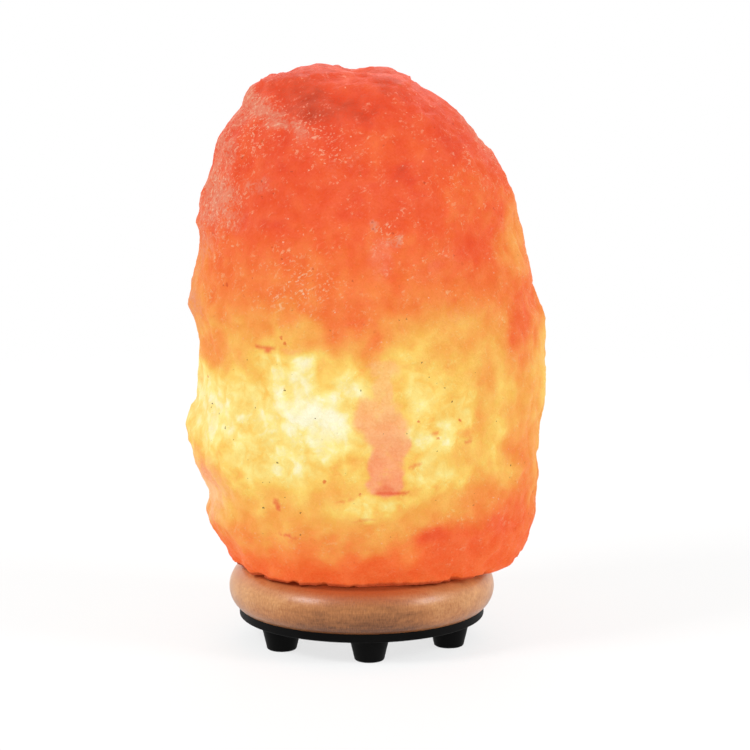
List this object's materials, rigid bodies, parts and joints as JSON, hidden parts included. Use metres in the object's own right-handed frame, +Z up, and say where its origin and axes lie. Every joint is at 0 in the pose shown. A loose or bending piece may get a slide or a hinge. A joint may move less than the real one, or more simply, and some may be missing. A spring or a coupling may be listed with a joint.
{
  "type": "salt crystal lamp",
  "caption": "Hewn salt crystal lamp on a turned wood base with a footed plate, lit from inside by a candelabra bulb on a light unit that pulls out from below.",
  "frame": {"origin": "on the table, at the axis of the wood base and the light's bore", "axes": "+Z up, the viewer's side of the lamp at -Y, +X to the viewer's right"},
  "size_m": [0.153, 0.13, 0.2439],
  "materials": {
    "rock_salt": "rough hewn, translucent, lit from inside",
    "light_wood": "satin, turned",
    "black_moulding": "fine moulded grain",
    "nylon": "moulded",
    "zinc_screw": "zinc plated",
    "white_moulding": "moulded",
    "black_rubber": "matt",
    "phenolic": "dark moulding",
    "brass": "stamped",
    "spring_steel": "rolled strip",
    "clear_glass": "clear",
    "nickel": "plated",
    "black_glass": "fused",
    "tungsten": "coiled wire"
  },
  "bodies": {
    "base": {"salt_crystal": "rock_salt", "crystal_plugs": "nylon", "crystal_screws": "zinc_screw", "wood_base": "light_wood", "foot_plate": "black_moulding", "plate_screws": "zinc_screw"},
    "light_unit": {"holder_flange": "white_moulding", "holder_cap": "white_moulding", "cap_screws": "zinc_screw", "cord_grommet": "black_rubber", "socket_body": "phenolic", "socket_screws": "zinc_screw", "socket_screw_shell": "brass", "contact_block": "phenolic", "centre_contact": "brass", "contact_rivet": "brass", "terminals": "brass", "terminal_screws": "brass", "retaining_clip_a": "spring_steel", "retaining_clip_b": "spring_steel", "clip_rivets": "zinc_screw"},
    "bulb": {"bulb_glass": "clear_glass", "bulb_cap": "nickel", "bulb_cap_insulator": "black_glass", "bulb_tip_contact": "nickel", "bulb_stem": "clear_glass", "bulb_lead_wires": "nickel", "bulb_filament": "tungsten", "filament_supports": "nickel"}
  },
  "joints": [
    {"name": "light_unit_slide", "type": "slide", "parent": "base", "child": "light_unit", "axis": [0, 0, -1], "range_m": [0, 0.11]},
    {"name": "bulb_turn", "type": "hinge", "parent": "light_unit", "child": "bulb", "pos_m": [0, 0, 0.0535], "axis": [0, 0, 1], "range_deg": [0, 1260]}
  ]
}
